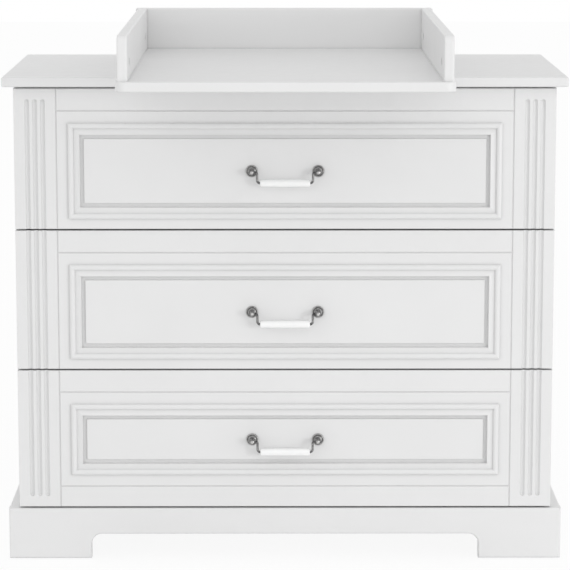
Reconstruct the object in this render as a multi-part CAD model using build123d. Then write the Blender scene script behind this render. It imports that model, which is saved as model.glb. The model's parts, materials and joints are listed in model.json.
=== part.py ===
from build123d import *
import os

# A chest of three wide drawers with a removable changing tray screwed to its top.
# Millimetres. X runs to the right, Y to the back, Z up, and the fronts face -Y.
# The origin is on the floor, under the middle of the whole piece.

# Chest body
body_width = 1000.0
board = 18.0
back_board = 3.0
back_inset = 2.0
back_recess = 1.5
top_rail_depth = 80.0
board_round = 0.8

# Top board
top_depth = 530.0
top_board = 18.0
top_side_overhang = 20.0
top_front_overhang = 20.0
top_round = 3.0

# Plinth and feet
plinth_height = 100.0
plinth_board = 20.0
foot_width = 155.0
arch_height = 50.0
arch_radius = 20.0
plinth_round = 3.0
corner_block = 40.0
glide_diameter = 22.0
glide_height = 3.0

# Drawer fronts
drawer_names = ("lower", "middle", "upper")
front_height = 261.0
front_board = 18.0
front_gap = 3.0
top_gap = 4.0
front_seat_gap = 0.5
front_round = 1.2

# Fluted pilasters, upright V-grooves and shallow square level grooves cut in the fronts
pilaster_width = 78.0
flute_count = 3
flute_pitch = 14.4
flute_width = 9.0
flute_depth = 4.2
flute_margin = 20.0
groove_width = 3.4
groove_depth = 2.8
level_groove_depth = 1.0
upper_groove_drop = 41.5
lower_groove_rise = 39.0

# Panel moulding and the channel round the raised field
moulding_side_margin = 21.4
moulding_top_margin = 64.0
moulding_foot_margin = 19.0
lowest_foot_margin = 61.5
moulding_width = 21.8
bead_width = 10.6
bead_height = 6.6
bead_edge = 3.2
quirk_height = 1.4
band_height = 4.2
band_hollow = 0.7
arris_round = 0.9
channel_width = 7.2
channel_depth = 4.0
field_round = 1.2

# Drawer boxes
box_board = 15.0
box_height = 200.0
box_rise = 21.0
box_back_gap = 37.5
box_bottom = 4.0
bottom_rise = 12.0
bottom_groove = 6.0
groove_play = 0.2

# Roller runners
runner_overlap = 110.0
runner_space = 12.5
runner_set_back = 2.0
steel = 1.2
roller_diameter = 22.0
roller_width = 6.5
roller_crown = 0.8
roller_inset = 14.0
roller_play = 0.05
axle_diameter = 5.0
axle_head = 8.0
axle_head_height = 0.6
track_width = 10.8
track_lip = 2.0
guard_width = 7.0
guard_play = 0.6
guard_start = 45.0
carry_flange = 9.5
carry_gap = 2.0
box_over_track = 2.0
stop_height = 3.0
stop_length = 4.0
stop_play = 0.5

# Handles
handle_spacing = 123.0
rosette_diameter = 22.5
rosette_height = 3.0
rosette_dish = 0.9
collar_diameter = 14.0
collar_flare = 1.5
collar_height = 4.6
neck_diameter = 6.4
ball_diameter = 12.4
pivot_reach = 21.0
bail_rod = 4.4
bail_half_span = 51.5
bail_drop = 20.0
pin_bend = 4.2
grip_bend = 6.0
pin_overrun = 2.0
pin_play = 0.06
grip_length = 93.0
grip_diameter = 14.4
grip_end_diameter = 13.8
grip_end_round = 2.6
grip_bore_play = 0.2
bolt_diameter = 4.0
bolt_head = 8.0
bolt_head_height = 2.4
bolt_grip = 7.0
bolt_play = 0.15

# Changing tray
tray_overhang = 300.0
tray_back_gap = 60.0
tray_width = 590.0
tray_base_board = 18.0
tray_wall_board = 18.0
tray_wall_height = 80.0
tray_wall_inset = 4.0
tray_front_inset = 8.0
tray_corner_radius = 18.0
tray_nose_radius = 11.0
tray_round = 3.0
cam_diameter = 15.0
cam_depth = 12.0
cam_sink = 0.4
cam_play = 0.1
cam_set_back = 72.0
cam_rise = 29.0

# Angle brackets
bracket_leg = 36.0
bracket_width = 40.0
bracket_steel = 2.0
bracket_hole = 5.0
bracket_hole_pitch = 24.0
bracket_hole_reach = 26.0
tray_bracket_spacing = 380.0
wall_bracket_spacing = 200.0

# Bracket screws
screw_diameter = 4.0
screw_length = 14.0
screw_head = 8.4
screw_head_height = 2.6
screw_head_round = 1.8
screw_recess = 4.6
screw_slot = 1.2
screw_slot_depth = 1.4
screw_play = 0.1

# Levels and planes that follow from the sizes above
overrun = 1.0
drawer_count = len(drawer_names)
front_pitch = front_height + front_gap
top_width = body_width + 2 * top_side_overhang
half_body = body_width / 2
half_inside = half_body - board
half_box = half_inside - runner_space
first_front = plinth_height + front_gap
top_under = first_front + drawer_count * front_pitch - front_gap + top_gap
top_level = top_under + top_board
tray_level = top_level + tray_base_board
tray_front = -(tray_overhang + top_depth) / 2
top_front = tray_front + tray_overhang
back = top_front + top_depth
tray_back = back - tray_back_gap
inside_back = back - back_recess - back_board
face = top_front + top_front_overhang
front_back = face + front_board
carcass_front = front_back + front_seat_gap
box_back = inside_back - box_back_gap
runner_length = box_back - front_back
drawer_travel = runner_length - runner_overlap
roller_radius = roller_diameter / 2
groove_x = half_body - pilaster_width


def block(x0, x1, y0, y1, z0, z1):
    centre = Pos((x0 + x1) / 2, (y0 + y1) / 2, (z0 + z1) / 2)
    return centre * Box(x1 - x0, y1 - y0, z1 - z0)


def prism(points, plane, length):
    return extrude(plane * make_face(Polyline(*points, close=True)), length)


def rod(diameter, start, direction, length):
    # A round bar from a start point along a direction
    return Plane(start, z_dir=direction).location * Cylinder(
        diameter / 2, length, align=(Align.CENTER, Align.CENTER, Align.MIN)
    )


def mirrored(shape):
    return mirror(shape, Plane.YZ)


def pair(shape):
    return Compound([*shape.solids(), *mirrored(shape).solids()])


def outer_edges(shape, *planes):
    # The edges of a board that lie on none of the given planes
    def hidden(edge):
        return any(plane.contains(edge @ 0) and plane.contains(edge @ 1) for plane in planes)

    return [edge for edge in shape.edges() if not hidden(edge)]


# Carcass
def side_panel():
    panel = block(half_inside, half_body, carcass_front, inside_back, glide_height, top_under)
    front_edges = panel.edges().filter_by(Axis.Z).group_by(Axis.Y)[0]
    return fillet(front_edges, board_round)


def rail(y0, y1):
    return block(-half_inside, half_inside, y0, y1, top_under - board, top_under)


def bottom_panel():
    level = plinth_height
    return block(-half_inside, half_inside, carcass_front, inside_back, level - board, level)


def back_panel():
    edge = half_body - back_inset
    low = plinth_height - board
    return block(-edge, edge, inside_back, inside_back + back_board, low, top_under - back_inset)


def top():
    half = top_width / 2
    slab = block(-half, half, top_front, back, top_under, top_level)
    return fillet(outer_edges(slab, Plane((0, back, 0), z_dir=(0, 1, 0))), top_round)


# Plinth
def plinth_front():
    half = half_body + plinth_board
    apron = block(-half, half, carcass_front - plinth_board, carcass_front, glide_height, plinth_height)
    arch = block(
        foot_width - half,
        half - foot_width,
        carcass_front - plinth_board - overrun,
        carcass_front + overrun,
        -arch_height,
        arch_height,
    )
    crown = arch.edges().filter_by(Axis.Y).group_by(Axis.Z)[-1]
    apron = apron - fillet(crown, arch_radius)
    return fillet(apron.faces().sort_by(Axis.Y)[0].edges(), plinth_round)


def plinth_side():
    outer = half_body + plinth_board
    skirt = block(half_body, outer, carcass_front, inside_back, glide_height, plinth_height)
    ledge = skirt.edges().filter_by(Axis.Y).group_by(Axis.X)[-1]
    return fillet(ledge, plinth_round)


def plinth_back():
    return block(
        -half_inside, half_inside, inside_back - board, inside_back, glide_height, plinth_height - board
    )


def corner_blocks():
    inner = half_inside - corner_block
    rear = inside_back - board
    low, high = glide_height, plinth_height - board
    front_block = block(inner, half_inside, carcass_front, carcass_front + corner_block, low, high)
    rear_block = block(inner, half_inside, rear - corner_block, rear, low, high)
    return pair(Compound([front_block, rear_block]))


def glides():
    x = half_inside - corner_block / 2
    front_y = carcass_front + corner_block / 2
    rear_y = inside_back - board - corner_block / 2
    feet = [rod(glide_diameter, (x, y, 0), (0, 0, 1), glide_height) for y in (front_y, rear_y)]
    return pair(Compound(feet))


# Drawer front with its flutes, grooves and raised field
def flute(x, low, high, low_stop, high_stop):
    # A round-bottomed groove, rounded where it stops short of an edge
    radius = (flute_width**2 / 4 + flute_depth**2) / (2 * flute_depth)
    y = face + flute_depth - radius
    z0 = low + flute_width / 2 if low_stop else low - overrun
    z1 = high - flute_width / 2 if high_stop else high + overrun
    tool = rod(2 * radius, (x, y, z0), (0, 0, 1), z1 - z0)
    if low_stop:
        tool += Pos(x, y, z0) * Sphere(radius)
    if high_stop:
        tool += Pos(x, y, z1) * Sphere(radius)
    return tool


def upright_groove(x, low, high):
    # The section is drawn across the groove and into the face
    half = groove_width / 2
    section = [(-half, -overrun), (half, -overrun), (half, 0), (0, groove_depth), (-half, 0)]
    plane = Plane((x, face, low - overrun), x_dir=(1, 0, 0), z_dir=(0, 0, 1))
    return prism(section, plane, high - low + 2 * overrun)


def level_groove(z):
    half = groove_width / 2
    return block(-groove_x, groove_x, face - overrun, face + level_groove_depth, z - half, z + half)


def panel_bounds(index):
    # The outline of the moulding on one front: half width, low and high
    low = first_front + index * front_pitch
    foot = lowest_foot_margin if index == 0 else moulding_foot_margin
    return groove_x - moulding_side_margin, low + foot, low + front_height - moulding_top_margin


def panel_centre(index):
    half, low, high = panel_bounds(index)
    return (low + high) / 2


def channel_ring(index):
    half, low, high = panel_bounds(index)
    near = moulding_width
    far = moulding_width + channel_width
    ring = block(near - half, half - near, face - overrun, face + channel_depth, low + near, high - near)
    field = block(far - half, half - far, face, face + channel_depth, low + far, high - far)
    raised = fillet(field.faces().sort_by(Axis.Y)[0].edges(), field_round)
    mouth = block(far - half, half - far, face - overrun, face, low + far, high - far)
    return ring - raised - mouth


def drawer_front(index):
    low = first_front + index * front_pitch
    high = low + front_height
    lowest, highest = index == 0, index == drawer_count - 1
    slab = block(-half_body, half_body, face, front_back, low, high)
    slab = fillet(slab.faces().sort_by(Axis.Y)[0].edges(), front_round)
    flute_low = low + flute_margin if lowest else low
    flute_high = high - flute_margin if highest else high
    for side in (-1, 1):
        middle = side * (half_body - pilaster_width / 2)
        for number in range(flute_count):
            x = middle + (number - (flute_count - 1) / 2) * flute_pitch
            slab -= flute(x, flute_low, flute_high, lowest, highest)
        slab -= upright_groove(side * groove_x, low, high)
        slab -= rod(
            bolt_diameter + 2 * bolt_play,
            (side * handle_spacing / 2, face - overrun, panel_centre(index)),
            (0, 1, 0),
            front_board + 2 * overrun,
        )
    slab -= level_groove(high - upper_groove_drop)
    if lowest:
        slab -= level_groove(low + lower_groove_rise)
    slab -= channel_ring(index)
    return slab - bottom_slot(index)


# Mitred moulding strips round the field
def moulding_section():
    # Inward from the outer edge and out from the face: bead, quirk and hollow band
    outer = Line((0, 0), (0, bead_edge))
    bead = ThreePointArc((0, bead_edge), (bead_width / 2, bead_height), (bead_width, quirk_height))
    lip = moulding_width - arris_round
    middle = (bead_width + lip) / 2
    hollow = (quirk_height + band_height) / 2 - band_hollow
    band = ThreePointArc((bead_width, quirk_height), (middle, hollow), (lip, band_height))
    arris = Line((lip, band_height), (moulding_width, band_height - arris_round))
    inner = Line((moulding_width, band_height - arris_round), (moulding_width, 0))
    seat = Line((moulding_width, 0), (0, 0))
    return make_face([outer, bead, band, arris, inner, seat])


def moulding_strip(length):
    # Along local Z, with inward along X and out of the face along Y
    inner = length - moulding_width
    outline = [(0, 0), (0, length), (moulding_width, inner), (moulding_width, moulding_width)]
    mitres = prism(outline, Plane.XZ, -2 * bead_height)
    return extrude(moulding_section(), length) & mitres


def moulding(index):
    half, low, high = panel_bounds(index)
    corners = (
        ((half, face, high), (0, 0, -1), (-1, 0, 0), 2 * half),
        ((-half, face, high), (1, 0, 0), (0, 0, -1), high - low),
        ((-half, face, low), (0, 0, 1), (1, 0, 0), 2 * half),
        ((half, face, low), (-1, 0, 0), (0, 0, 1), high - low),
    )
    strips = []
    for corner, inward, along, length in corners:
        place = Plane(corner, x_dir=inward, z_dir=along).location
        strips += (place * moulding_strip(length)).solids()
    return Compound(strips)


# Drawer box
def box_level(index):
    return first_front + index * front_pitch + box_rise


def bottom_sheet(index, play):
    # The drawer bottom, or the slot for it when given play
    edge = half_box - box_board + bottom_groove - groove_play + play
    low = box_level(index) + bottom_rise
    return block(
        -edge,
        edge,
        front_back - bottom_groove + groove_play - play,
        box_back + play,
        low - play,
        low + box_bottom + play,
    )


def bottom_slot(index):
    return bottom_sheet(index, groove_play)


def box_side(index):
    low = box_level(index)
    panel = block(half_box - box_board, half_box, front_back, box_back, low, low + box_height)
    rim = panel.edges().filter_by(Axis.Y).group_by(Axis.Z)[-1]
    return fillet(rim, board_round) - bottom_slot(index)


def box_rear(index):
    edge = half_box - box_board
    low = box_level(index) + bottom_rise + box_bottom
    high = box_level(index) + box_height
    panel = block(-edge, edge, box_back - box_board, box_back, low, high)
    rim = panel.edges().filter_by(Axis.X).group_by(Axis.Z)[-1]
    return fillet(rim, board_round)


# Roller runners: one channel on the carcass, one angle on the drawer, a roller on each
def track_level(index):
    return box_level(index) - box_over_track


def guard_level(index):
    return track_level(index) + roller_diameter + guard_play + steel


def carry_level(index):
    return guard_level(index) + carry_gap


def front_axle(index):
    y = carcass_front + runner_set_back + roller_inset
    return Vector(half_inside - steel, y, carry_level(index) - roller_play - roller_radius)


def rear_axle(index):
    y = box_back - roller_inset
    return Vector(half_box + steel, y, track_level(index) + roller_play + roller_radius)


def roller_middle():
    return (half_inside - steel + half_box + steel) / 2


def axle(start, side):
    # A riveted stub that carries the roller and keeps it on
    reach = abs(roller_middle() - start.X) + roller_width / 2 + roller_play
    stub = rod(axle_diameter, start, (side, 0, 0), reach)
    return stub + rod(axle_head, start + Vector(side * reach, 0, 0), (side, 0, 0), axle_head_height)


def cabinet_runner(index):
    web, floor, guard = half_inside, track_level(index), guard_level(index)
    edge = half_inside - track_width
    section = [
        (web, floor - steel),
        (web, guard),
        (web - guard_width, guard),
        (web - guard_width, guard - steel),
        (web - steel, guard - steel),
        (web - steel, floor),
        (edge + steel, floor),
        (edge + steel, floor + track_lip),
        (edge, floor + track_lip),
        (edge, floor - steel),
    ]
    start = carcass_front + runner_set_back
    channel = prism(section, Plane.XZ.offset(-start), -runner_length)
    opening = block(
        web - guard_width - overrun,
        web - steel,
        start - overrun,
        start + guard_start,
        guard - steel - overrun,
        guard + overrun,
    )
    # The drawer's roller meets the stop at the end of its travel
    run_up = (roller_radius**2 - (roller_radius - stop_height) ** 2) ** 0.5 + stop_play
    stop_y = rear_axle(index).Y - drawer_travel - run_up
    stop = block(edge + steel, web - steel, stop_y - stop_length, stop_y, floor, floor + stop_height)
    return channel - opening + stop + axle(front_axle(index), -1)


def drawer_runner(index):
    side, seat, carry = half_box, box_level(index), carry_level(index)
    section = [
        (side, seat),
        (side, carry + steel),
        (side + carry_flange, carry + steel),
        (side + carry_flange, carry),
        (side + steel, carry),
        (side + steel, seat - steel),
        (side - box_board, seat - steel),
        (side - box_board, seat),
    ]
    angle = prism(section, Plane.XZ.offset(-front_back), -runner_length)
    return angle + axle(rear_axle(index), 1)


def roller(axis):
    # A plastic wheel with a crowned rim and a running bore
    bore = axle_diameter / 2 + roller_play
    half = roller_width / 2
    shoulder = roller_radius - roller_crown
    tread = ThreePointArc((-half, shoulder), (0, roller_radius), (half, shoulder))
    outline = [
        Line((-half, bore), (-half, shoulder)),
        tread,
        Line((half, shoulder), (half, bore)),
        Line((half, bore), (-half, bore)),
    ]
    wheel = revolve(make_face(outline), Axis.X)
    return Pos(roller_middle(), axis.Y, axis.Z) * wheel


# Handle: two posts, a bent bail and a porcelain grip
def handle_post(index):
    # Turned about the post's own axis, from the face outwards
    rim, collar, neck = rosette_diameter / 2, collar_diameter / 2, neck_diameter / 2
    shoulder = rim - rosette_height / 2
    foot = (collar + collar_flare, rosette_dish - rosette_height)
    outline = [
        Line((0, 0), (rim, 0)),
        Line((rim, 0), (rim, -rosette_height / 2)),
        RadiusArc((rim, -rosette_height / 2), (shoulder, -rosette_height), rosette_height / 2),
        Line((shoulder, -rosette_height), foot),
        Line(foot, (collar, -collar_height)),
        Spline((collar, -collar_height), (neck, -pivot_reach), tangents=((-1, 0), (0, -1))),
        Line((neck, -pivot_reach), (0, -pivot_reach)),
        Line((0, -pivot_reach), (0, 0)),
    ]
    post = revolve(make_face(outline), Axis.Y) + Pos(0, -pivot_reach, 0) * Sphere(ball_diameter / 2)
    pin_start = (pin_overrun + pin_play, -pivot_reach, 0)
    pin_hole = rod(bail_rod + 2 * pin_play, pin_start, (-1, 0, 0), ball_diameter)
    bolt_hole = rod(bolt_diameter + 2 * bolt_play, (0, 0, 0), (0, -1, 0), bolt_grip + bolt_play)
    return Pos(handle_spacing / 2, face, panel_centre(index)) * (post - pin_hole - bolt_hole)


def handle_bolt(index):
    start = (handle_spacing / 2, front_back, panel_centre(index))
    shank = rod(bolt_diameter, start, (0, -1, 0), front_board + bolt_grip)
    return shank + rod(bolt_head, start, (0, 1, 0), bolt_head_height)


def bail(index):
    end = handle_spacing / 2 + pin_overrun
    points = [(-end, 0), (-bail_half_span, 0), (-bail_half_span, -bail_drop)]
    points += [(-x, z) for x, z in reversed(points)]
    plane = Plane((0, face - pivot_reach, panel_centre(index)), x_dir=(1, 0, 0), z_dir=(0, -1, 0))
    path = plane * FilletPolyline(*points, radius=(pin_bend, grip_bend, grip_bend, pin_bend))
    section = Plane(path @ 0, z_dir=path % 0) * Circle(bail_rod / 2)
    return sweep(section, path)


def grip(index):
    # A barrel with rounded ends, threaded on the bail
    bore = bail_rod / 2 + grip_bore_play
    half, end = grip_length / 2, grip_end_diameter / 2
    flat = half - grip_end_round
    outline = [
        Line((-half, bore), (-half, end - grip_end_round)),
        RadiusArc((-half, end - grip_end_round), (-flat, end), grip_end_round),
        ThreePointArc((-flat, end), (0, grip_diameter / 2), (flat, end)),
        RadiusArc((flat, end), (half, end - grip_end_round), grip_end_round),
        Line((half, end - grip_end_round), (half, bore)),
        Line((half, bore), (-half, bore)),
    ]
    barrel = revolve(make_face(outline), Axis.X)
    return Pos(0, face - pivot_reach, panel_centre(index) - bail_drop) * barrel


# Changing tray
def tray_base():
    half = tray_width / 2
    slab = block(-half, half, tray_front, tray_back, top_level, tray_level)
    slab = fillet(slab.edges().filter_by(Axis.Z).group_by(Axis.Y)[0], tray_corner_radius)
    rear = Plane((0, tray_back, 0), z_dir=(0, 1, 0))
    return fillet(outer_edges(slab, rear), tray_round)


def cam_seats(play):
    # Cam locks near both ends of a side wall, or their pockets when given play
    inner = tray_width / 2 - tray_wall_inset - tray_wall_board
    front_y = tray_front + tray_front_inset + cam_set_back
    rear_y = tray_back - tray_wall_board - cam_set_back
    sink = -overrun if play else cam_sink
    seats = []
    for y in (front_y, rear_y):
        start = (inner + sink, y, tray_level + cam_rise)
        seats.append(rod(cam_diameter + 2 * play, start, (1, 0, 0), cam_depth - sink))
    return Compound(seats)


def tray_side_wall():
    outer = tray_width / 2 - tray_wall_inset
    wall = block(
        outer - tray_wall_board,
        outer,
        tray_front + tray_front_inset,
        tray_back - tray_wall_board,
        tray_level,
        tray_level + tray_wall_height,
    )
    nose = wall.edges().filter_by(Axis.X).group_by(Axis.Z)[-1].sort_by(Axis.Y)[0]
    wall = fillet(nose, tray_nose_radius)
    seat = Plane((0, 0, tray_level))
    rear = Plane((0, tray_back - tray_wall_board, 0), z_dir=(0, 1, 0))
    return fillet(outer_edges(wall, seat, rear), tray_round) - cam_seats(cam_play)


def tray_back_wall():
    half = tray_width / 2
    top_of_wall = tray_level + tray_wall_height
    wall = block(-half, half, tray_back - tray_wall_board, tray_back, tray_level, top_of_wall)
    return fillet(outer_edges(wall, Plane((0, 0, tray_level))), tray_round)


# Angle brackets behind the tray, with their screws
def lying_seats(x, corner_y, side):
    # Under the screw heads on the leg that lies on the top board
    y = corner_y + side * bracket_hole_reach
    half = bracket_hole_pitch / 2
    return [Plane((x + offset, y, top_level + bracket_steel)) for offset in (-half, half)]


def standing_seats(x, corner_y, side):
    # Under the screw heads on the leg that stands up
    y = corner_y + side * bracket_steel
    z = top_level + bracket_hole_reach
    half = bracket_hole_pitch / 2
    return [Plane((x + offset, y, z), z_dir=(0, side, 0)) for offset in (-half, half)]


def bracket(x, corner_y, side):
    leg, sheet = bracket_leg, bracket_steel
    section = [(0, 0), (leg, 0), (leg, sheet), (sheet, sheet), (sheet, leg), (0, leg)]
    start = Plane((x - bracket_width / 2, corner_y, top_level), x_dir=(0, side, 0), z_dir=(side, 0, 0))
    angle = prism(section, start, side * bracket_width)
    for seat in lying_seats(x, corner_y, side) + standing_seats(x, corner_y, side):
        angle -= seat.location * Cylinder(bracket_hole / 2, 2 * (sheet + overrun))
    return angle


def screw(seat):
    # A domed head with a cross recess, and its shank below the seat
    head = Cylinder(screw_head / 2, screw_head_height, align=(Align.CENTER, Align.CENTER, Align.MIN))
    head = fillet(head.edges().group_by(Axis.Z)[-1], screw_head_round)
    shank = Cylinder(screw_diameter / 2, screw_length, align=(Align.CENTER, Align.CENTER, Align.MAX))
    slot = Pos(0, 0, screw_head_height) * Box(screw_recess, screw_slot, 2 * screw_slot_depth)
    return seat.location * (head + shank - slot - Rot(0, 0, 90) * slot)


def pilot_hole(seat):
    radius = screw_diameter / 2 + screw_play
    depth = screw_length + screw_play
    return seat.location * Cylinder(radius, depth, align=(Align.CENTER, Align.CENTER, Align.MAX))


def bored(panel, seats):
    for hole in pair(Compound([pilot_hole(seat) for seat in seats])).solids():
        panel -= hole
    return panel


def tray_brackets():
    seats = tray_lying + tray_standing
    angle = bracket(tray_bracket_spacing / 2, tray_back, 1)
    return pair(Compound([angle, *[screw(seat) for seat in seats]]))


def wall_brackets():
    angle = bracket(wall_bracket_spacing / 2, back, -1)
    return pair(Compound([angle, *[screw(seat) for seat in wall_lying]]))


tray_lying = lying_seats(tray_bracket_spacing / 2, tray_back, 1)
tray_standing = standing_seats(tray_bracket_spacing / 2, tray_back, 1)
wall_lying = lying_seats(wall_bracket_spacing / 2, back, -1)

nodes = {
    "top_board": bored(top(), tray_lying + wall_lying),
    "left_side_panel": mirrored(side_panel()),
    "right_side_panel": side_panel(),
    "bottom_panel": bottom_panel(),
    "back_panel": back_panel(),
    "top_front_rail": rail(carcass_front, carcass_front + top_rail_depth),
    "top_rear_rail": rail(inside_back - top_rail_depth, inside_back),
    "plinth_front": plinth_front(),
    "plinth_left": mirrored(plinth_side()),
    "plinth_right": plinth_side(),
    "plinth_back": plinth_back(),
    "plinth_corner_blocks": corner_blocks(),
    "floor_glides": glides(),
    "tray_base": tray_base(),
    "tray_left_wall": mirrored(tray_side_wall()),
    "tray_right_wall": tray_side_wall(),
    "tray_back_wall": bored(tray_back_wall(), tray_standing),
    "tray_cam_locks": pair(cam_seats(0)),
    "tray_brackets": tray_brackets(),
    "wall_brackets": wall_brackets(),
}

runners = []
for index, name in enumerate(drawer_names):
    nodes[f"{name}_drawer_front"] = drawer_front(index)
    nodes[f"{name}_moulding"] = moulding(index)
    nodes[f"{name}_box_left"] = mirrored(box_side(index))
    nodes[f"{name}_box_right"] = box_side(index)
    nodes[f"{name}_box_back"] = box_rear(index)
    nodes[f"{name}_box_bottom"] = bottom_sheet(index, 0)
    nodes[f"{name}_drawer_runners"] = pair(drawer_runner(index))
    nodes[f"{name}_front_rollers"] = pair(roller(front_axle(index)))
    nodes[f"{name}_rear_rollers"] = pair(roller(rear_axle(index)))
    nodes[f"{name}_handle_bolts"] = pair(handle_bolt(index))
    nodes[f"{name}_handle_posts"] = pair(handle_post(index))
    nodes[f"{name}_handle_bail"] = bail(index)
    nodes[f"{name}_handle_grip"] = grip(index)
    runners += pair(cabinet_runner(index)).solids()
nodes["cabinet_runners"] = Compound(runners)

os.makedirs("parts", exist_ok=True)
for name, shape in nodes.items():
    export_step(shape, f"parts/{name}.step")
    print(name, len(shape.solids()), "solids", round(sum(s.volume for s in shape.solids())), "mm3")
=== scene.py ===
import json
import math

import bmesh
import bpy
from mathutils import Matrix, Vector


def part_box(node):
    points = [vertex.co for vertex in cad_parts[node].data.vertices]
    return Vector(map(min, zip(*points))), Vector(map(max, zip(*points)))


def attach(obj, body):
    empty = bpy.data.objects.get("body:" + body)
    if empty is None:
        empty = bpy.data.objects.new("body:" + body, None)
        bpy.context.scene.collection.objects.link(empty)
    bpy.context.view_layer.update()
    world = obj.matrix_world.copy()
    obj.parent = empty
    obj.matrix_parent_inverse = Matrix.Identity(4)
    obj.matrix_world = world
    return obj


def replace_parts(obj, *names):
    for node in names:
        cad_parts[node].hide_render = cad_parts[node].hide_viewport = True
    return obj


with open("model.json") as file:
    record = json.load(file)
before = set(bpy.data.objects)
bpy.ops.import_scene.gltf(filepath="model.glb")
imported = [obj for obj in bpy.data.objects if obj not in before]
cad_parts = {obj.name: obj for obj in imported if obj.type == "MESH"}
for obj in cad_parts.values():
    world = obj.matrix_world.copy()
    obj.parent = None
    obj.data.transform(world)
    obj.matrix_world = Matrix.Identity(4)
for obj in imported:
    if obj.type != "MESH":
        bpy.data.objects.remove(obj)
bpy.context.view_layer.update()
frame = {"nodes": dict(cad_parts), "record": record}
scene = bpy.context.scene
scene.view_settings.view_transform = "Standard"
drawers = ("lower", "middle", "upper")
mm = 0.001
print("frame loaded,", len(frame["nodes"]), "nodes")


# finishes

midNoise = (0.3, 0.7)  # most of a noise lies between these values


def startFinish(name):
    mat = bpy.data.materials.new(name)
    mat.use_nodes = True
    return mat, mat.node_tree, mat.node_tree.nodes["Principled BSDF"]


def placed(tree, stretch=(1, 1, 1)):  # object coordinates, stretched along a grain
    coords = tree.nodes.new("ShaderNodeTexCoord")
    mapping = tree.nodes.new("ShaderNodeMapping")
    mapping.inputs["Scale"].default_value = stretch
    tree.links.new(coords.outputs["Object"], mapping.inputs["Vector"])
    return mapping.outputs["Vector"]


def cloud(tree, vector, scale, detail=3, rough=0.55):
    noise = tree.nodes.new("ShaderNodeTexNoise")
    noise.inputs["Scale"].default_value = scale
    noise.inputs["Detail"].default_value = detail
    noise.inputs["Roughness"].default_value = rough
    tree.links.new(vector, noise.inputs["Vector"])
    return noise.outputs["Fac"]


def grey(level):
    return (level,) * 3


def tones(tree, fac, spots, colours):  # a ramp with a colour at each spot
    ramp = tree.nodes.new("ShaderNodeValToRGB")
    while len(ramp.color_ramp.elements) < len(spots):
        ramp.color_ramp.elements.new(1)
    for stop, at, colour in zip(ramp.color_ramp.elements, spots, colours):
        stop.position = at
        stop.color = (*colour, 1)
    tree.links.new(fac, ramp.inputs["Fac"])
    return ramp.outputs["Color"]


def between(tree, fac, low, high, span=midNoise):  # goes from low to high as fac crosses the span
    ranged = tree.nodes.new("ShaderNodeMapRange")
    ranged.inputs["From Min"].default_value, ranged.inputs["From Max"].default_value = span
    ranged.inputs["To Min"].default_value = low
    ranged.inputs["To Max"].default_value = high
    tree.links.new(fac, ranged.inputs["Value"])
    return ranged.outputs["Result"]


def relief(tree, shader, *bumps):  # laid one on another, each a height with its strength and distance
    last = None
    for height, (strength, distance) in bumps:
        bump = tree.nodes.new("ShaderNodeBump")
        bump.inputs["Strength"].default_value = strength
        bump.inputs["Distance"].default_value = distance
        tree.links.new(height, bump.inputs["Height"])
        if last:
            tree.links.new(last, bump.inputs["Normal"])
        last = bump.outputs["Normal"]
    tree.links.new(last, shader.inputs["Normal"])


lacquer = {
    "light": grey(0.80),
    "dark": grey(0.785),
    "spread": (0.35, 0.65),  # where the sway is dark, and where it is light
    "sway": 5,  # scale of this noise, as of the next two
    "smudge": 60,
    "peel": 700,
    "roughness": (0.34, 0.44),
    "specular": 0.35,
    "reach": 0.006,  # how near a wall puts painted shade on a spot
    "rays": 6,
    "open": (0.55, 0.95),  # how open a spot is where the painted shade is full, and where it ends
    # painted shade: the colour is multiplied down to this grey in crevices and where parts meet
    "paintedShadeGrey": grey(0.87),
    "peelBump": (0.06, 0.0003),
    "swayBump": (0.04, 0.004),
}


def whiteLacquer():
    mat, tree, shader = startFinish("white_lacquer")
    at = placed(tree)
    sway = cloud(tree, at, lacquer["sway"], detail=2)
    peel = cloud(tree, at, lacquer["peel"], detail=1)
    smudge = cloud(tree, at, lacquer["smudge"])
    # painted shade: ambient occlusion darkens the base colour in grooves, crevices and where parts meet
    hollow = tree.nodes.new("ShaderNodeAmbientOcclusion")
    hollow.samples = lacquer["rays"]
    hollow.inputs["Distance"].default_value = lacquer["reach"]
    paintedShadeMix = tree.nodes.new("ShaderNodeMix")
    paintedShadeMix.data_type = "RGBA"
    paintedShadeMix.blend_type = "MULTIPLY"
    paintedShadeMix.inputs["Factor"].default_value = 1
    whites = [lacquer["dark"], lacquer["light"]]
    tree.links.new(tones(tree, sway, lacquer["spread"], whites), paintedShadeMix.inputs["A"])
    shades = [lacquer["paintedShadeGrey"], grey(1)]
    tree.links.new(tones(tree, hollow.outputs["AO"], lacquer["open"], shades), paintedShadeMix.inputs["B"])
    tree.links.new(paintedShadeMix.outputs["Result"], shader.inputs["Base Color"])
    tree.links.new(between(tree, smudge, *lacquer["roughness"]), shader.inputs["Roughness"])
    shader.inputs["Specular IOR Level"].default_value = lacquer["specular"]
    relief(tree, shader, (peel, lacquer["peelBump"]), (sway, lacquer["swayBump"]))
    return mat


melamine = {
    "light": grey(0.80),
    "dark": grey(0.775),
    "mottle": (9, 4),  # scale and detail
    "grain": (950, 2),
    "roughness": (0.46, 0.56),
    "bump": (0.16, 0.0004),
}
whitePlastic = {
    "light": (0.80, 0.80, 0.79),
    "dark": (0.74, 0.74, 0.73),
    "mottle": (120, 3),
    "grain": (1400, 2),
    "roughness": (0.35, 0.5),
    "bump": (0.1, 0.0002),
}
rollerPlastic = {
    **whitePlastic,
    "light": (0.84, 0.83, 0.79),
    "dark": (0.78, 0.77, 0.73),
    "roughness": (0.25, 0.4),
}
coatedSteel = {
    "light": (0.82, 0.82, 0.81),
    "dark": (0.77, 0.77, 0.76),
    "mottle": (40, 3),
    "grain": (1100, 2),
    "roughness": (0.38, 0.52),
    "bump": (0.22, 0.0003),
}


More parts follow.
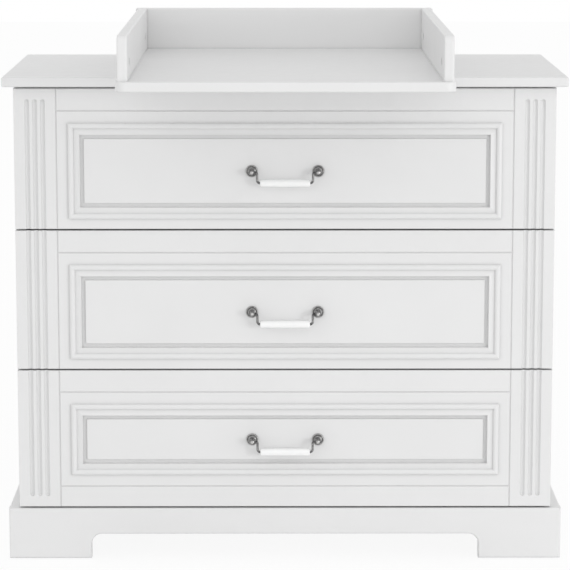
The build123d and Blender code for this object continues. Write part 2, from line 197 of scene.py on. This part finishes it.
def grainySkin(name, skin):  # a faint mottle, and a grain in gloss and surface
    mat, tree, shader = startFinish(name)
    at = placed(tree)
    mottle = cloud(tree, at, *skin["mottle"])
    grain = cloud(tree, at, *skin["grain"])
    colours = [skin["dark"], skin["light"]]
    tree.links.new(tones(tree, mottle, midNoise, colours), shader.inputs["Base Color"])
    tree.links.new(between(tree, grain, *skin["roughness"]), shader.inputs["Roughness"])
    relief(tree, shader, (grain, skin["bump"]))
    return mat


hardboard = {
    "light": (0.79, 0.785, 0.77),
    "dark": (0.74, 0.733, 0.715),
    "spread": (0.25, 0.62),
    "fibre": 320,
    "fibreStretch": (1, 1, 3),
    "fibreShare": 0.45,
    "mottle": 55,
    "mottleShare": (0.1, 0.45),
    "roughness": (0.6, 0.75),
    "bump": (0.2, 0.0006),
}


def whiteHardboard():
    mat, tree, shader = startFinish("white_hardboard")
    fibre = cloud(tree, placed(tree, hardboard["fibreStretch"]), hardboard["fibre"], detail=6, rough=0.7)
    mottle = cloud(tree, placed(tree), hardboard["mottle"], detail=5)
    mix = tree.nodes.new("ShaderNodeMath")
    mix.operation = "MULTIPLY_ADD"
    mix.inputs[1].default_value = hardboard["fibreShare"]
    tree.links.new(fibre, mix.inputs[0])
    tree.links.new(between(tree, mottle, *hardboard["mottleShare"]), mix.inputs[2])
    colours = [hardboard["dark"], hardboard["light"]]
    shades = tones(tree, mix.outputs["Value"], hardboard["spread"], colours)
    tree.links.new(shades, shader.inputs["Base Color"])
    tree.links.new(between(tree, fibre, *hardboard["roughness"]), shader.inputs["Roughness"])
    relief(tree, shader, (fibre, hardboard["bump"]))
    return mat


softwood = {
    "early": (0.78, 0.60, 0.38),
    "late": (0.55, 0.35, 0.17),
    "spread": (0.2, 0.75),
    "lengthwise": (1, 1, 0.08),
    "rings": 160,
    "wander": 5,  # how far the rings stray, with the detail and scale of it
    "wanderDetail": 3,
    "wanderScale": 1.6,
    "fibre": 1500,
    "roughness": (0.6, 0.8),
    "fibreBump": (0.3, 0.0005),
    "ringBump": (0.2, 0.0005),
}


def plainSoftwood():
    mat, tree, shader = startFinish("plain_softwood")
    at = placed(tree, softwood["lengthwise"])
    wave = tree.nodes.new("ShaderNodeTexWave")
    wave.wave_type = "RINGS"
    wave.rings_direction = "Z"
    wave.inputs["Scale"].default_value = softwood["rings"]
    wave.inputs["Distortion"].default_value = softwood["wander"]
    wave.inputs["Detail"].default_value = softwood["wanderDetail"]
    wave.inputs["Detail Scale"].default_value = softwood["wanderScale"]
    tree.links.new(at, wave.inputs["Vector"])
    rings = wave.outputs["Fac"]
    fibre = cloud(tree, at, softwood["fibre"], detail=4, rough=0.7)
    colours = [softwood["early"], softwood["late"]]
    tree.links.new(tones(tree, rings, softwood["spread"], colours), shader.inputs["Base Color"])
    tree.links.new(between(tree, fibre, *softwood["roughness"]), shader.inputs["Roughness"])
    relief(tree, shader, (fibre, softwood["fibreBump"]), (rings, softwood["ringBump"]))
    return mat


zincPlating = {
    "light": (0.72, 0.73, 0.74),
    "dark": (0.55, 0.56, 0.58),
    "spangle": 500,
    "pits": 1250,
    "roughness": (0.24, 0.4),
    "bump": (0.12, 0.0003),
}
castZinc = {
    **zincPlating,
    "light": grey(0.60),
    "dark": (0.44, 0.44, 0.45),
    "spangle": 700,
    "pits": 1750,
    "roughness": (0.35, 0.5),
}


def bareMetal(name, metal):
    mat, tree, shader = startFinish(name)
    at = placed(tree)
    spangle = cloud(tree, at, metal["spangle"], detail=4, rough=0.65)
    colours = [metal["dark"], metal["light"]]
    tree.links.new(tones(tree, spangle, midNoise, colours), shader.inputs["Base Color"])
    tree.links.new(between(tree, spangle, *metal["roughness"]), shader.inputs["Roughness"])
    shader.inputs["Metallic"].default_value = 1
    relief(tree, shader, (cloud(tree, at, metal["pits"]), metal["bump"]))
    return mat


pewter = {
    "dark": (0.055, 0.055, 0.057),
    "body": (0.26, 0.258, 0.257),
    "wornAndHighlight": (0.66, 0.655, 0.645),
    "steps": (0.1, 0.45, 0.95),  # how bright a spot is where each of the three is full
    "patina": 320,
    "patinaSpan": (0.2, 0.8),
    "patinaSway": 0.34,
    "roughness": (0.46, 0.24),
    "roughnessSpan": (0.2, 0.9),
    "pits": 900,
    "bump": (0.18, 0.0003),
}


def antiquePewter():
    mat, tree, shader = startFinish("antique_pewter")
    at = placed(tree)
    patina = cloud(tree, at, pewter["patina"], detail=5, rough=0.62)
    sway = between(tree, patina, -pewter["patinaSway"], pewter["patinaSway"], pewter["patinaSpan"])
    rubbedAndLit = tree.nodes.new("ShaderNodeAttribute")
    rubbedAndLit.attribute_name = "wearAndSheen"  # on each pewter piece, from 0 in recesses to 1 on high spots: wear and patina, with painted highlights on the posts' ball tips and painted light on their discs
    add = tree.nodes.new("ShaderNodeMath")
    tree.links.new(sway, add.inputs[0])
    tree.links.new(rubbedAndLit.outputs["Fac"], add.inputs[1])
    bright = add.outputs["Value"]
    # the brightest colour serves both worn metal and the painted highlight
    colours = [pewter["dark"], pewter["body"], pewter["wornAndHighlight"]]
    tree.links.new(tones(tree, bright, pewter["steps"], colours), shader.inputs["Base Color"])
    roughness = between(tree, bright, *pewter["roughness"], pewter["roughnessSpan"])
    tree.links.new(roughness, shader.inputs["Roughness"])
    shader.inputs["Metallic"].default_value = 1
    relief(tree, shader, (cloud(tree, at, pewter["pits"]), pewter["bump"]))
    return mat


glaze = {
    "light": (0.95, 0.95, 0.945),
    "pooled": (0.92, 0.925, 0.925),
    "pool": 90,
    "roughness": (0.08, 0.16),
    "coat": 0.6,
    "coatRoughness": 0.05,
    "ripple": 160,
    "bump": (0.06, 0.0006),
}


def porcelain():
    mat, tree, shader = startFinish("porcelain")
    at = placed(tree)
    pool = cloud(tree, at, glaze["pool"])
    colours = [glaze["pooled"], glaze["light"]]
    tree.links.new(tones(tree, pool, midNoise, colours), shader.inputs["Base Color"])
    tree.links.new(between(tree, pool, *glaze["roughness"]), shader.inputs["Roughness"])
    shader.inputs["Coat Weight"].default_value = glaze["coat"]
    shader.inputs["Coat Roughness"].default_value = glaze["coatRoughness"]
    relief(tree, shader, (cloud(tree, at, glaze["ripple"], detail=2), glaze["bump"]))
    return mat


finishes = {
    "white_lacquer": whiteLacquer(),
    "white_melamine": grainySkin("white_melamine", melamine),
    "white_hardboard": whiteHardboard(),
    "plain_softwood": plainSoftwood(),
    "white_plastic": grainySkin("white_plastic", whitePlastic),
    "roller_plastic": grainySkin("roller_plastic", rollerPlastic),
    "white_coated_steel": grainySkin("white_coated_steel", coatedSteel),
    "zinc_plated_steel": bareMetal("zinc_plated_steel", zincPlating),
    "zinc": bareMetal("zinc", castZinc),
    "antique_pewter": antiquePewter(),
    "porcelain": porcelain(),
}
for part in frame["record"]["subparts"]:
    obj = frame["nodes"][part["node"]]
    obj.data.materials.clear()
    obj.data.materials.append(finishes[part["material_slot"]])
print("finishes", len(finishes))


# pieces

seam = 0.002 * mm  # points closer than this are one

outward = Matrix.Rotation(math.radians(90), 4, "X")  # local Z to the front, -Y
backward = Matrix.Rotation(math.radians(-90), 4, "X")  # local Z to the back, +Y
along = Matrix.Rotation(math.radians(90), 4, "Y")  # local Z along +X


def inward(side):  # local Z from the right, 1, or left, -1, to the middle
    return Matrix.Rotation(math.radians(-90 * side), 4, "Y")


def vertsOf(geom):
    return [g for g in geom if isinstance(g, bmesh.types.BMVert)]


def edgesOf(geom):
    return [g for g in geom if isinstance(g, bmesh.types.BMEdge)]


def addPiece(bm, name, body, slot, smooth=35):
    bmesh.ops.remove_doubles(bm, verts=bm.verts, dist=seam)
    bmesh.ops.recalc_face_normals(bm, faces=bm.faces)
    mesh = bpy.data.meshes.new(name)
    bm.to_mesh(mesh)
    bm.free()
    mesh.shade_smooth()
    mesh.set_sharp_from_angle(angle=math.radians(smooth))
    mesh.materials.append(finishes[slot])
    obj = bpy.data.objects.new(name, mesh)
    scene.collection.objects.link(obj)
    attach(obj, body)
    return obj


def turned(bm, profile, place, steps, wearAndSheen=()):  # (radius, reach) points in mm, spun about local Z
    before = set(bm.verts)
    rim = [bm.verts.new((radius * mm, 0, reach * mm)) for radius, reach in profile]
    for v, value in zip(rim, wearAndSheen):
        v[bm.verts.layers.float["wearAndSheen"]] = value
    line = [bm.edges.new(pair) for pair in zip(rim, rim[1:])]
    bmesh.ops.spin(
        bm, geom=rim + line, cent=(0, 0, 0), axis=(0, 0, 1), angle=math.tau,
        steps=steps, use_merge=True, use_duplicate=False,
    )
    bmesh.ops.transform(bm, matrix=place, verts=[v for v in bm.verts if v not in before])


post = {  # sizes in mm
    "steps": 56,
    "rings": [  # from the drawer face outwards: radius, reach and wear, the disc's values raised as painted light against its shade
        (0, 0, 0.3), (11.25, 0, 0.3), (11.25, 1.1, 0.5), (11.0, 1.9, 0.64), (10.4, 2.6, 0.72),
        (9.75, 2.9, 0.68), (9.2, 2.7, 0.42), (8.9, 2.2, 0.16), (8.6, 2.15, 0.16), (8.45, 2.5, 0.34),
        (8.0, 2.8, 0.58), (7.6, 2.75, 0.38), (7.45, 3.1, 0.2), (7.4, 3.9, 0.4), (7.1, 4.5, 0.6),
        (6.5, 4.75, 0.56), (5.6, 4.9, 0.4), (4.8, 5.3, 0.25), (4.2, 6.0, 0.2), (3.75, 7.1, 0.25),
        (3.45, 8.6, 0.32), (3.3, 10.4, 0.36), (3.35, 12.0, 0.34), (3.7, 13.2, 0.3), (4.3, 13.9, 0.45),
        (4.5, 14.4, 0.55), (4.2, 14.9, 0.35), (3.8, 15.2, 0.12),
    ],
    "ballRadius": 6.2,
    "ballReach": 21,
    "ballSteps": 18,
    "ballWearAndHighlight": (0.38, 0.56),  # all over, and more at the tip as a painted highlight
    "tipFade": 9,
    "smooth": 50,
}


def postProfile():
    points = list(post["rings"])
    radius, reach = post["ballRadius"], post["ballReach"]
    start = math.asin(points[-1][0] / radius)
    for step in range(post["ballSteps"] + 1):
        angle = start + (math.pi - start) * step / post["ballSteps"]
        # painted highlight: a bright spot at the tip of each ball
        tip = max(-math.cos(angle), 0) ** post["tipFade"]
        wearAndSheen = post["ballWearAndHighlight"][0] + post["ballWearAndHighlight"][1] * tip
        points.append((radius * max(math.sin(angle), 0), reach - radius * math.cos(angle), wearAndSheen))
    return [point[:2] for point in points], [point[2] for point in points]


def handlePosts(name):
    node = f"{name}_handle_posts"
    low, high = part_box(node)
    edge = post["rings"][1][0] * mm
    profile, wearAndSheen = postProfile()
    bm = bmesh.new()
    bm.verts.layers.float.new("wearAndSheen")
    for x in (low.x + edge, high.x - edge):
        seat = Matrix.Translation((x, high.y, (low.z + high.z) / 2)) @ outward
        turned(bm, profile, seat, post["steps"], wearAndSheen)
    piece = addPiece(bm, f"{name}HandlePosts", f"{name}_drawer", "antique_pewter", post["smooth"])
    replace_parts(piece, node)


for name in drawers:
    handlePosts(name)

grip = {  # sizes in mm
    "steps": 40,
    "bore": 2.4,
    "end": 6.9,
    "middle": 7.2,
    "endRound": 2.6,
    "roundSteps": 6,
    "bodySteps": 16,
    "smooth": 60,
}


def gripProfile(half):
    end, middle, corner = grip["end"], grip["middle"], grip["endRound"]
    flat = half - corner
    points = [(grip["bore"], -half)]
    for step in range(grip["roundSteps"] + 1):
        angle = math.pi / 2 * step / grip["roundSteps"]
        points.append((end - corner * (1 - math.sin(angle)), -flat - corner * math.cos(angle)))
    for step in range(1, grip["bodySteps"]):
        u = 2 * step / grip["bodySteps"] - 1
        points.append((middle - (middle - end) * u * u, u * flat))
    points += [(radius, -reach) for radius, reach in reversed(points[: grip["roundSteps"] + 2])]
    return points + points[:1]


def handleGrip(name):
    node = f"{name}_handle_grip"
    low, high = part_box(node)
    bm = bmesh.new()
    place = Matrix.Translation((low + high) / 2) @ along
    turned(bm, gripProfile((high.x - low.x) / 2 / mm), place, grip["steps"])
    piece = addPiece(bm, f"{name}HandleGrip", f"{name}_bail", "porcelain", grip["smooth"])
    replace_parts(piece, node)


for name in drawers:
    handleGrip(name)

bail = {  # sizes in mm
    "sides": 20,
    "rod": 2.2,
    "pinEnd": 63.5,
    "arm": 51.5,
    "pinBend": 4.2,
    "gripBend": 6.0,
    "drop": 20,
    "bendSteps": 9,
    "wearAndSheen": (0.16, 0.42),  # darker at the ends of the arms, brighter half way
    "smooth": 60,
}


def runOn(bm, ring, move):  # the rod goes straight on
    made = bmesh.ops.extrude_edge_only(bm, edges=ring)["geom"]
    bmesh.ops.translate(bm, verts=vertsOf(made), vec=Vector(move) * mm)
    return edgesOf(made)


def bendOn(bm, ring, centre, angle):  # the rod turns about a point in the bail's plane
    ends = list({v for e in ring for v in e.verts})
    made = bmesh.ops.spin(
        bm, geom=ends + ring, cent=Vector(centre) * mm, axis=(0, 1, 0), angle=math.radians(angle),
        steps=bail["bendSteps"], use_merge=False, use_duplicate=False,
    )["geom_last"]
    return edgesOf(made)


def handleBail(name):  # one rod, from the left pin through the grip to the right pin
    node = f"{name}_handle_bail"
    low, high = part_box(node)
    rod = bail["rod"] * mm
    armX, pinR, gripR, drop = bail["arm"], bail["pinBend"], bail["gripBend"], bail["drop"]
    bm = bmesh.new()
    wearAndSheen = bm.verts.layers.float.new("wearAndSheen")
    start = Matrix.Translation((-bail["pinEnd"] * mm, 0, 0)) @ along
    bmesh.ops.create_circle(bm, cap_ends=True, segments=bail["sides"], radius=rod, matrix=start)
    ring = list(bm.edges)
    ring = runOn(bm, ring, (bail["pinEnd"] - armX - pinR, 0, 0))
    ring = bendOn(bm, ring, (-armX - pinR, 0, -pinR), 90)
    ring = runOn(bm, ring, (0, 0, pinR + gripR - drop))
    ring = bendOn(bm, ring, (gripR - armX, 0, gripR - drop), -90)
    ring = runOn(bm, ring, (2 * (armX - gripR), 0, 0))
    ring = bendOn(bm, ring, (armX - gripR, 0, gripR - drop), -90)
    ring = runOn(bm, ring, (0, 0, drop - pinR - gripR))
    ring = bendOn(bm, ring, (armX + pinR, 0, -pinR), 90)
    ring = runOn(bm, ring, (bail["pinEnd"] - armX - pinR, 0, 0))
    bmesh.ops.holes_fill(bm, edges=ring, sides=0)
    # darker towards the pins and the grip, brighter half way down the arms
    for v in bm.verts:
        down = min(max(-v.co.z / (drop * mm), 0), 1)
        v[wearAndSheen] = bail["wearAndSheen"][0] + bail["wearAndSheen"][1] * math.sin(math.pi * down)
    pivot = (0, (low.y + high.y) / 2, high.z - rod)
    bmesh.ops.translate(bm, verts=bm.verts, vec=pivot)
    piece = addPiece(bm, f"{name}HandleBail", f"{name}_bail", "antique_pewter", bail["smooth"])
    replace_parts(piece, node)


for name in drawers:
    handleBail(name)
print("handles")

drawerFront = {  # cuts in the faces, in mm
    "pilaster": 78,
    "groove": (2.8, 1.8),  # depth of the upright grooves in the node, and of all grooves here
    "slot": 1.0,  # the level grooves are square in the node
    "slotHalf": 1.7,
    "slotDrop": 41.5,
    "slotRise": 39,  # on the lowest front
    "weld": 0.005,  # points this near are one, or lie on a cut
}


def groovedFront(name):  # the level grooves get the same V as the upright ones
    node = f"{name}_drawer_front"
    low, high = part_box(node)
    weld = drawerFront["weld"] * mm
    levels = [high.z - drawerFront["slotDrop"] * mm]
    if name == drawers[0]:
        levels.append(low.z + drawerFront["slotRise"] * mm)
    plain = frame["nodes"][node].data.copy()
    if plain.has_custom_normals:
        plain.attributes.remove(plain.attributes["custom_normal"])
    bm = bmesh.new()
    bm.from_mesh(plain)
    bpy.data.meshes.remove(plain)
    bmesh.ops.remove_doubles(bm, verts=bm.verts, dist=weld)
    apexX = high.x - drawerFront["pilaster"] * mm
    cut, shown = [low.y + depth * mm for depth in drawerFront["groove"]]
    apex = [v for v in bm.verts if abs(v.co.y - cut) < weld and abs(abs(v.co.x) - apexX) < weld]
    bmesh.ops.translate(bm, verts=apex, vec=(0, shown - cut, 0))
    floor = [v for v in bm.verts if abs(v.co.y - low.y - drawerFront["slot"] * mm) < weld]
    reach = drawerFront["slotHalf"] * mm + weld
    tips = [(side * apexX, shown, level) for level in levels for side in (-1, 1)]
    ends = [[v for v in floor if v.co.x * x > 0 and abs(v.co.z - z) < reach] for x, _, z in tips]
    for corners, tip in zip(ends, tips):
        bmesh.ops.pointmerge(bm, verts=corners, merge_co=tip)
    piece = addPiece(bm, f"{name}GroovedFront", f"{name}_drawer", "white_lacquer")
    even = piece.modifiers.new("evenShading", "WEIGHTED_NORMAL")  # flat faces stay flat at rounded edges
    even.keep_sharp = True
    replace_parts(piece, node)


for name in drawers:
    groovedFront(name)
print("fronts")

head = {"sides": 20, "cells": 5, "smooth": 30}


def crossHead(bm, place, fitting, height):  # a round head on local Z with a cross recess
    before = set(bm.verts)
    radius, arm, depth, bevel = [fitting[key] * mm for key in ("radius", "arm", "depth", "bevel")]
    raised = Matrix.Translation((0, 0, height))
    grid = bmesh.ops.create_grid(
        bm, x_segments=head["cells"], y_segments=head["cells"], size=arm / 2, matrix=raised,
    )["verts"]
    faces = list({f for v in grid for f in v.link_faces})
    border = [e for e in {e for f in faces for e in f.edges} if e.is_boundary]
    cell = arm / head["cells"]
    slots = [
        f for f in faces
        if min(abs(f.calc_center_median().x), abs(f.calc_center_median().y)) < cell / 2
    ]
    sunk = bmesh.ops.extrude_face_region(bm, geom=slots)["geom"]
    bmesh.ops.delete(bm, geom=slots, context="FACES")
    bmesh.ops.translate(bm, verts=vertsOf(sunk), vec=(0, 0, -depth))
    lip = bmesh.ops.create_circle(
        bm, segments=head["sides"], radius=radius - bevel,
        matrix=raised @ Matrix.Rotation(math.radians(45), 4, "Z"),  # points on the grid's diagonals
    )["verts"]
    lipEdges = list({e for v in lip for e in v.link_edges})
    bmesh.ops.bridge_loops(bm, edges=border + lipEdges)
    rim = bmesh.ops.extrude_edge_only(bm, edges=lipEdges)["geom"]
    grow = radius / (radius - bevel)
    bmesh.ops.scale(bm, verts=vertsOf(rim), vec=(grow, grow, 1))
    bmesh.ops.translate(bm, verts=vertsOf(rim), vec=(0, 0, -bevel))
    skirt = bmesh.ops.extrude_edge_only(bm, edges=edgesOf(rim))["geom"]
    for v in vertsOf(skirt):
        v.co.z = 0
    bmesh.ops.holes_fill(bm, edges=edgesOf(skirt), sides=0)
    bmesh.ops.transform(bm, matrix=place, verts=[v for v in bm.verts if v not in before])


cam = {"radius": 7.5, "arm": 8.5, "depth": 2.2, "bevel": 0.6, "sink": 0.4}  # sizes in mm


def trayCams():  # four cam discs, just below the walls' inner faces
    low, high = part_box("tray_cam_locks")
    height = high.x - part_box("tray_right_wall")[0].x - cam["sink"] * mm
    bm = bmesh.new()
    for y in (low.y + cam["radius"] * mm, high.y - cam["radius"] * mm):
        for side in (-1, 1):
            seat = Matrix.Translation((side * high.x, y, (low.z + high.z) / 2)) @ inward(side)
            crossHead(bm, seat, cam, height)
    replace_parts(addPiece(bm, "trayCams", "cabinet", "zinc", head["smooth"]), "tray_cam_locks")


trayCams()

runnerScrew = {  # sizes in mm
    "radius": 3.2,
    "arm": 3.2,
    "depth": 0.25,
    "height": 0.4,
    "bevel": 0.25,
    "steel": 1.2,  # the runner's web, between the screw and the side panel
    "spots": (70, 220, 390),
    "rise": 15,
}


def runnerScrews():  # flat heads on the webs of the runners
    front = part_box("cabinet_runners")[0].y
    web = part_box("right_side_panel")[0].x - runnerScrew["steel"] * mm
    bm = bmesh.new()
    for name in drawers:
        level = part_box(f"{name}_rear_rollers")[0].z + runnerScrew["rise"] * mm
        for spot in runnerScrew["spots"]:
            for side in (-1, 1):
                seat = Matrix.Translation((side * web, front + spot * mm, level)) @ inward(side)
                crossHead(bm, seat, runnerScrew, runnerScrew["height"] * mm)
    addPiece(bm, "runnerScrews", "cabinet", "zinc_plated_steel", head["smooth"])


runnerScrews()

cap = {  # sizes in mm, the profile as (radius, reach)
    "profile": [(0, 0), (8, 0), (8, 0.66), (7.5, 1.2), (6.4, 1.2), (5.6, 0.85), (0, 0.85)],
    "sides": 28,
    "fromFront": 34,
    "rises": (45, 150),
    "smooth": 30,
}


def boxCaps(name):  # covers over the fittings that hold the box to its front
    bm = bmesh.new()
    for side, board in ((-1, "left"), (1, "right")):
        low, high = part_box(f"{name}_box_{board}")
        face = low.x if side > 0 else high.x
        for rise in cap["rises"]:
            spot = (face, low.y + cap["fromFront"] * mm, low.z + rise * mm)
            turned(bm, cap["profile"], Matrix.Translation(spot) @ inward(side), cap["sides"])
    addPiece(bm, f"{name}BoxCaps", f"{name}_drawer", "white_plastic", cap["smooth"])


for name in drawers:
    boxCaps(name)

nail = {  # sizes in mm, the profile as (radius, reach)
    "profile": [(0, 0), (2.7, 0), (2.7, 0.3), (2.2, 0.7), (1.2, 0.95), (0, 1.05)],
    "sides": 14,
    "pitch": 110,
    "smooth": 40,
}


def spread(low, high):  # evenly placed spots from end to end, about a pitch apart
    count = round((high - low) / (nail["pitch"] * mm))
    return [low + (high - low) * step / count for step in range(count + 1)]


def backNails():  # around the back panel, into the edges of the boards that it covers
    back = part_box("back_panel")[1].y
    side = sum(corner.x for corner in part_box("right_side_panel")) / 2
    foot = sum(corner.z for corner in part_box("bottom_panel")) / 2
    crown = sum(corner.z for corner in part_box("top_rear_rail")) / 2
    spots = [(x, z) for x in spread(-side, side) for z in (foot, crown)]
    spots += [(x, z) for z in spread(foot, crown)[1:-1] for x in (-side, side)]
    bm = bmesh.new()
    for x, z in spots:
        turned(bm, nail["profile"], Matrix.Translation((x, back, z)) @ backward, nail["sides"])
    addPiece(bm, "backNails", "cabinet", "zinc_plated_steel", nail["smooth"])


backNails()
print("fittings")


# studio

studio = {
    "floorSize": 30,
    "floorShadow": 0.08,  # how much of a shadow the camera sees
    "floorTone": 0.95,
    "floorBounce": 0.92,  # how much light the floor throws back
    "sky": 0.40,
}
skySides = {  # more light from each side, strongest along an axis
    "front": ("Y", -1, 0.66),
    "back": ("Y", 1, 0.30),
    "right": ("X", 1, 0.50),
    "left": ("X", -1, 0.50),
}


def showToCamera(tree):  # 1 for what the camera, a mirror or glass sees
    path = tree.nodes.new("ShaderNodeLightPath")
    total = path.outputs["Is Camera Ray"]
    for ray in ("Is Glossy Ray", "Is Transmission Ray"):
        most = tree.nodes.new("ShaderNodeMath")
        most.operation = "MAXIMUM"
        tree.links.new(total, most.inputs[0])
        tree.links.new(path.outputs[ray], most.inputs[1])
        total = most.outputs["Value"]
    return total


def whiteFloor():
    mat = bpy.data.materials.new("white_floor")
    mat.use_nodes = True
    tree = mat.node_tree
    tree.nodes.clear()
    output = tree.nodes.new("ShaderNodeOutputMaterial")
    shadow = tree.nodes.new("ShaderNodeBsdfDiffuse")
    shadow.inputs["Color"].default_value = (*grey(studio["floorTone"]), 1)
    white = tree.nodes.new("ShaderNodeEmission")
    white.inputs["Color"].default_value = (1, 1, 1, 1)
    shown = tree.nodes.new("ShaderNodeMixShader")
    shown.inputs["Fac"].default_value = studio["floorShadow"]
    tree.links.new(white.outputs["Emission"], shown.inputs[1])
    tree.links.new(shadow.outputs["BSDF"], shown.inputs[2])
    bounce = tree.nodes.new("ShaderNodeBsdfDiffuse")
    bounce.inputs["Color"].default_value = (*grey(studio["floorBounce"]), 1)
    pick = tree.nodes.new("ShaderNodeMixShader")
    tree.links.new(showToCamera(tree), pick.inputs["Fac"])
    tree.links.new(bounce.outputs["BSDF"], pick.inputs[1])
    tree.links.new(shown.outputs["Shader"], pick.inputs[2])
    tree.links.new(pick.outputs["Shader"], output.inputs["Surface"])
    return mat


def makeFloor():
    bm = bmesh.new()
    bmesh.ops.create_grid(bm, x_segments=1, y_segments=1, size=studio["floorSize"] / 2)
    mesh = bpy.data.meshes.new("floor")
    bm.to_mesh(mesh)
    bm.free()
    mesh.materials.append(whiteFloor())
    floor = bpy.data.objects.new("floor", mesh)
    scene.collection.objects.link(floor)


def makeSky():
    world = bpy.data.worlds.new("studio")
    scene.world = world
    world.use_nodes = True
    tree = world.node_tree
    background = tree.nodes["Background"]
    coords = tree.nodes.new("ShaderNodeTexCoord")
    way = tree.nodes.new("ShaderNodeSeparateXYZ")
    tree.links.new(coords.outputs["Object"], way.inputs["Vector"])
    total = None
    for axis, sign, strength in skySides.values():
        add = tree.nodes.new("ShaderNodeMath")
        add.inputs[0].default_value = studio["sky"]
        if total:
            tree.links.new(total, add.inputs[0])
        tree.links.new(between(tree, way.outputs[axis], 0, strength, (0, sign)), add.inputs[1])
        total = add.outputs["Value"]
    level = tree.nodes.new("ShaderNodeMix")
    level.inputs["B"].default_value = 1
    tree.links.new(showToCamera(tree), level.inputs["Factor"])
    tree.links.new(total, level.inputs["A"])
    tree.links.new(level.outputs["Result"], background.inputs["Strength"])
    background.inputs["Color"].default_value = (1, 1, 1, 1)


keyLamp = {"at": (4.0, -4.4, 0.9), "aim": (0, 0, 0.5), "size": (1.0, 1.0), "power": 48}


def makeLamp():
    light = bpy.data.lights.new("key", "AREA")
    light.shape = "RECTANGLE"
    light.size, light.size_y = keyLamp["size"]
    light.energy = keyLamp["power"]
    lamp = bpy.data.objects.new("key", light)
    lamp.location = keyLamp["at"]
    beam = Vector(keyLamp["aim"]) - Vector(keyLamp["at"])
    lamp.rotation_euler = beam.to_track_quat("-Z", "Y").to_euler()
    scene.collection.objects.link(lamp)


view = {
    "at": (-0.017, -5.115, 1.3515),
    "down": 9.341,  # in degrees, as the next
    "aside": 0.193,
    "lens": 172.76,
    "sensor": 36,
    "far": 100,
}


def makeCamera():
    data = bpy.data.cameras.new("camera")
    data.lens = view["lens"]
    data.sensor_width = view["sensor"]
    data.clip_end = view["far"]
    camera = bpy.data.objects.new("camera", data)
    camera.location = view["at"]
    camera.rotation_euler = (math.radians(90 - view["down"]), 0, math.radians(-view["aside"]))
    scene.collection.objects.link(camera)
    scene.camera = camera


makeFloor()
makeSky()
makeLamp()
makeCamera()
print("studio")
